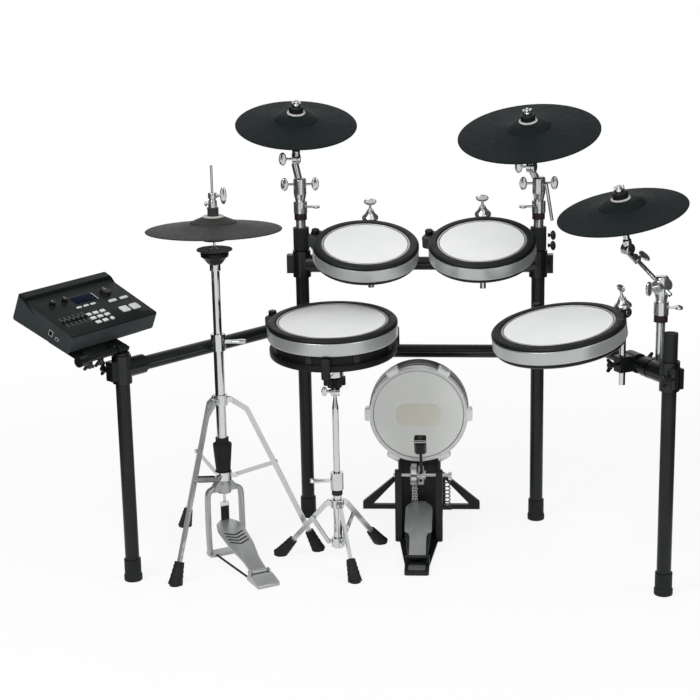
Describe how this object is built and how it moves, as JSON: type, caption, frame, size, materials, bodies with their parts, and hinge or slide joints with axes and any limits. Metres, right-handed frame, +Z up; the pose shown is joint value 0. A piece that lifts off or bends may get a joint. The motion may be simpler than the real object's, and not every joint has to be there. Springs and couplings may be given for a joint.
{
  "type": "electronic drum kit",
  "caption": "Electronic drum kit: mesh pads, rubber cymbal pads and a trigger module on a tubular rack, with snare and hi-hat stands and a kick tower with its pedal.",
  "frame": {"origin": "on the floor, on the underside of the kick tower's base plate, in the middle of its width", "axes": "+X to the player's right, along the kit's width; +Y away from the player, along its depth; +Z up"},
  "size_m": [1.6642, 0.8636, 1.1774],
  "materials": {
    "black_metal": "satin black powder coat",
    "black_rubber": "matt black rubber",
    "black_bolts": "black moulded grip",
    "chrome": "polished",
    "silver_alloy": "satin cast",
    "dark_alloy": "dark grey paint",
    "black_plastic": "fine moulded grain",
    "white_head": "white woven mesh",
    "panel_grey": "satin panel",
    "pale_keys": "pale moulded keys",
    "dark_knobs": "satin knobs",
    "steel": "bright steel"
  },
  "bodies": {
    "rack": {"rack_posts": "black_metal", "rack_rails": "black_metal", "rack_clamps": "black_metal", "rack_wing_bolts": "black_bolts", "rack_feet_and_caps": "black_rubber", "tom_rods": "chrome", "cymbal_stands": "chrome", "module_holder": "black_metal", "hihat_base_tube": "chrome", "hihat_frame": "silver_alloy", "snare_base_tube": "chrome", "kick_tower": "black_metal", "kick_hoop": "silver_alloy", "kick_head": "white_head", "pedal_frame": "dark_alloy", "pedal_spring": "steel"},
    "module": {"module_case": "black_plastic", "module_panel": "panel_grey", "module_cradle": "black_metal"},
    "module_keys": {"module_keys": "pale_keys"},
    "module_faders": {"module_faders": "pale_keys"},
    "module_volume_knob": {"module_volume_knob": "dark_knobs"},
    "module_headphone_knob": {"module_headphone_knob": "dark_knobs"},
    "module_dial": {"module_dial": "dark_knobs"},
    "tom_left": {"tom_left_shell": "black_plastic", "tom_left_head": "white_head"},
    "tom_right": {"tom_right_shell": "black_plastic", "tom_right_head": "white_head"},
    "floor_tom": {"floor_tom_shell": "black_plastic", "floor_tom_head": "white_head"},
    "crash_left": {"crash_left_cymbal": "black_rubber"},
    "ride": {"ride_cymbal": "black_rubber"},
    "crash_right": {"crash_right_cymbal": "black_rubber"},
    "hihat_upper": {"hihat_upper_tube": "chrome"},
    "hihat_rod": {"hihat_rod": "chrome"},
    "hihat_cymbal": {"hihat_clutch": "chrome", "hihat_pad": "black_rubber"},
    "hihat_pedal": {"hihat_footboard": "silver_alloy"},
    "hihat_collar": {"hihat_collar": "chrome"},
    "hihat_leg_1": {"hihat_leg_1": "chrome"},
    "hihat_strut_1": {"hihat_strut_1": "chrome"},
    "hihat_leg_2": {"hihat_leg_2": "chrome"},
    "hihat_strut_2": {"hihat_strut_2": "chrome"},
    "hihat_leg_3": {"hihat_leg_3": "chrome"},
    "hihat_strut_3": {"hihat_strut_3": "chrome"},
    "snare_collar": {"snare_collar": "chrome"},
    "snare_leg_1": {"snare_leg_1": "chrome"},
    "snare_strut_1": {"snare_strut_1": "chrome"},
    "snare_leg_2": {"snare_leg_2": "chrome"},
    "snare_strut_2": {"snare_strut_2": "chrome"},
    "snare_leg_3": {"snare_leg_3": "chrome"},
    "snare_strut_3": {"snare_strut_3": "chrome"},
    "snare_upper": {"snare_upper_tube": "chrome"},
    "snare": {"snare_basket": "chrome", "snare_shell": "black_plastic", "snare_head": "white_head"},
    "kick_beater": {"pedal_axle": "chrome", "beater": "black_plastic"},
    "kick_pedal": {"pedal_footboard": "silver_alloy"},
    "pedal_chain": {"pedal_chain": "steel"}
  },
  "joints": [
    {"name": "module_tilt", "type": "hinge", "parent": "rack", "child": "module", "pos_m": [-0.757, -0.378, 0.615], "axis": [0.6018, 0.7986, 0], "range_deg": [-12, 8]},
    {"name": "module_key_press", "type": "slide", "parent": "module", "child": "module_keys", "axis": [-0.3121, 0.2351, -0.9205], "range_m": [0, 0.0015], "stiffness_N_per_m": 300},
    {"name": "module_fader_slide", "type": "slide", "parent": "module", "child": "module_faders", "axis": [-0.7351, 0.554, 0.3907], "range_m": [-0.012, 0.012]},
    {"name": "module_volume_turn", "type": "hinge", "parent": "module", "child": "module_volume_knob", "pos_m": [-0.9193, -0.38894, 0.7315], "axis": [0.3121, -0.2351, 0.9205], "range_deg": [-135, 135]},
    {"name": "module_headphone_turn", "type": "hinge", "parent": "module", "child": "module_headphone_knob", "pos_m": [-0.89402, -0.3554, 0.7315], "axis": [0.3121, -0.2351, 0.9205], "range_deg": [-135, 135]},
    {"name": "module_dial_turn", "type": "hinge", "parent": "module", "child": "module_dial", "pos_m": [-0.80656, -0.24851, 0.72916], "axis": [0.3121, -0.2351, 0.9205], "continuous": true},
    {"name": "tom_left_tilt", "type": "hinge", "parent": "rack", "child": "tom_left", "pos_m": [-0.12673, -0.00439, 0.85236], "axis": [0.9956, -0.0939, 0], "range_deg": [-10, 10]},
    {"name": "tom_right_tilt", "type": "hinge", "parent": "rack", "child": "tom_right", "pos_m": [0.17076, -0.04277, 0.86295], "axis": [0.9956, -0.0939, 0], "range_deg": [-10, 10]},
    {"name": "floor_tom_tilt", "type": "hinge", "parent": "rack", "child": "floor_tom", "pos_m": [0.4851, -0.4219, 0.69692], "axis": [0.4246, -0.9054, 0], "range_deg": [-10, 10]},
    {"name": "crash_left_tilt", "type": "hinge", "parent": "rack", "child": "crash_left", "pos_m": [-0.32126, 0.0703, 1.01473], "axis": [0.9924, 0.1231, 0], "range_deg": [-15, 12]},
    {"name": "ride_tilt", "type": "hinge", "parent": "rack", "child": "ride", "pos_m": [0.30466, 0.01073, 0.98913], "axis": [0.9239, -0.3827, 0], "range_deg": [-15, 12]},
    {"name": "crash_right_tilt", "type": "hinge", "parent": "rack", "child": "crash_right", "pos_m": [0.50257, -0.36656, 0.84058], "axis": [0.6076, -0.7942, 0], "range_deg": [-15, 12]},
    {"name": "hihat_height", "type": "slide", "parent": "rack", "child": "hihat_upper", "axis": [0, 0, 1], "range_m": [-0.11, 0]},
    {"name": "hihat_pull", "type": "slide", "parent": "rack", "child": "hihat_rod", "axis": [0, 0, 1], "range_m": [-0.01, 0], "stiffness_N_per_m": 1500, "springref_m": 0.02},
    {"name": "hihat_clutch_slide", "type": "slide", "parent": "hihat_rod", "child": "hihat_cymbal", "axis": [0, 0, 1], "range_m": [0, 0.05]},
    {"name": "hihat_pedal_press", "type": "hinge", "parent": "rack", "child": "hihat_pedal", "pos_m": [-0.43185, -0.39518, 0.022], "axis": [0.8934, 0.4493, 0], "range_deg": [-2.73, 0]},
    {"name": "hihat_fold", "type": "slide", "parent": "rack", "child": "hihat_collar", "axis": [0, 0, 1], "range_m": [0, 0.03]},
    {"name": "hihat_leg_1_turn", "type": "hinge", "parent": "hihat_collar", "child": "hihat_leg_1", "pos_m": [-0.50101, -0.20325, 0.428], "axis": [-0.0279, 0.9996, 0], "range_deg": [0, 3.32]},
    {"name": "hihat_strut_1_turn", "type": "hinge", "parent": "rack", "child": "hihat_strut_1", "pos_m": [-0.49501, -0.20308, 0.219], "axis": [-0.0279, 0.9996, 0], "range_deg": [-13.74, 0]},
    {"name": "hihat_leg_2_turn", "type": "hinge", "parent": "hihat_collar", "child": "hihat_leg_2", "pos_m": [-0.54215, -0.181, 0.428], "axis": [-0.8517, -0.524, 0], "range_deg": [0, 3.32]},
    {"name": "hihat_strut_2_turn", "type": "hinge", "parent": "rack", "child": "hihat_strut_2", "pos_m": [-0.54529, -0.17589, 0.219], "axis": [-0.8517, -0.524, 0], "range_deg": [-13.74, 0]},
    {"name": "hihat_leg_3_turn", "type": "hinge", "parent": "hihat_collar", "child": "hihat_leg_3", "pos_m": [-0.54084, -0.22775, 0.428], "axis": [0.8796, -0.4756, 0], "range_deg": [0, 3.32]},
    {"name": "hihat_strut_3_turn", "type": "hinge", "parent": "rack", "child": "hihat_strut_3", "pos_m": [-0.5437, -0.23303, 0.219], "axis": [0.8796, -0.4756, 0], "range_deg": [-13.74, 0]},
    {"name": "snare_fold", "type": "slide", "parent": "rack", "child": "snare_collar", "axis": [0, 0, 1], "range_m": [0, 0.01]},
    {"name": "snare_leg_1_turn", "type": "hinge", "parent": "snare_collar", "child": "snare_leg_1", "pos_m": [-0.21032, -0.24932, 0.157], "axis": [-0.7071, 0.7071, 0], "range_deg": [0, 8.82]},
    {"name": "snare_strut_1_turn", "type": "hinge", "parent": "rack", "child": "snare_strut_1", "pos_m": [-0.21032, -0.24932, 0.05], "axis": [-0.7071, 0.7071, 0], "range_deg": [-6.6, 0]},
    {"name": "snare_leg_2_turn", "type": "hinge", "parent": "snare_collar", "child": "snare_leg_2", "pos_m": [-0.25215, -0.26053, 0.157], "axis": [-0.2588, -0.9659, 0], "range_deg": [0, 8.82]},
    {"name": "snare_strut_2_turn", "type": "hinge", "parent": "rack", "child": "snare_strut_2", "pos_m": [-0.25215, -0.26053, 0.05], "axis": [-0.2588, -0.9659, 0], "range_deg": [-6.6, 0]},
    {"name": "snare_leg_3_turn", "type": "hinge", "parent": "snare_collar", "child": "snare_leg_3", "pos_m": [-0.22153, -0.29115, 0.157], "axis": [0.9659, 0.2588, 0], "range_deg": [0, 8.82]},
    {"name": "snare_strut_3_turn", "type": "hinge", "parent": "rack", "child": "snare_strut_3", "pos_m": [-0.22153, -0.29115, 0.05], "axis": [0.9659, 0.2588, 0], "range_deg": [-6.6, 0]},
    {"name": "snare_height", "type": "slide", "parent": "rack", "child": "snare_upper", "axis": [0, 0, 1], "range_m": [-0.03, 0.015]},
    {"name": "snare_tilt", "type": "hinge", "parent": "snare_upper", "child": "snare", "pos_m": [-0.228, -0.267, 0.462], "axis": [1, 0, 0], "range_deg": [-8, 8]},
    {"name": "kick_beater_swing", "type": "hinge", "parent": "rack", "child": "kick_beater", "pos_m": [-0.00879, -0.12569, 0.181], "axis": [0.9976, -0.0698, 0], "range_deg": [-44, 0], "stiffness_Nm_per_rad": 0.8, "springref_deg": 28.65, "deforming": ["pedal_spring"]},
    {"name": "kick_pedal_press", "type": "hinge", "parent": "rack", "child": "kick_pedal", "pos_m": [-0.02232, -0.31922, 0.022], "axis": [0.9976, -0.0698, 0], "range_deg": [-6.61, 0]},
    {"name": "kick_chain_pull", "type": "slide", "parent": "rack", "child": "pedal_chain", "axis": [0, 0, 1], "range_m": [-0.0263, 0]}
  ],
  "couplings": [
    {"joint": "hihat_pedal_press", "follows": "hihat_pull", "rad_per_m": 4.6729},
    {"joint": "hihat_leg_1_turn", "follows": "hihat_fold", "rad_per_m": 1.8995},
    {"joint": "hihat_strut_1_turn", "follows": "hihat_fold", "rad_per_m": -7.9636},
    {"joint": "hihat_leg_2_turn", "follows": "hihat_fold", "rad_per_m": 1.8995},
    {"joint": "hihat_strut_2_turn", "follows": "hihat_fold", "rad_per_m": -7.9636},
    {"joint": "hihat_leg_3_turn", "follows": "hihat_fold", "rad_per_m": 1.8995},
    {"joint": "hihat_strut_3_turn", "follows": "hihat_fold", "rad_per_m": -7.9636},
    {"joint": "snare_leg_1_turn", "follows": "snare_fold", "rad_per_m": 15.311},
    {"joint": "snare_strut_1_turn", "follows": "snare_fold", "rad_per_m": -11.436},
    {"joint": "snare_leg_2_turn", "follows": "snare_fold", "rad_per_m": 15.311},
    {"joint": "snare_strut_2_turn", "follows": "snare_fold", "rad_per_m": -11.436},
    {"joint": "snare_leg_3_turn", "follows": "snare_fold", "rad_per_m": 15.311},
    {"joint": "snare_strut_3_turn", "follows": "snare_fold", "rad_per_m": -11.436},
    {"joint": "kick_pedal_press", "follows": "kick_beater_swing", "ratio": 0.14912},
    {"joint": "kick_chain_pull", "follows": "kick_beater_swing", "m_per_rad": 0.034}
  ]
}
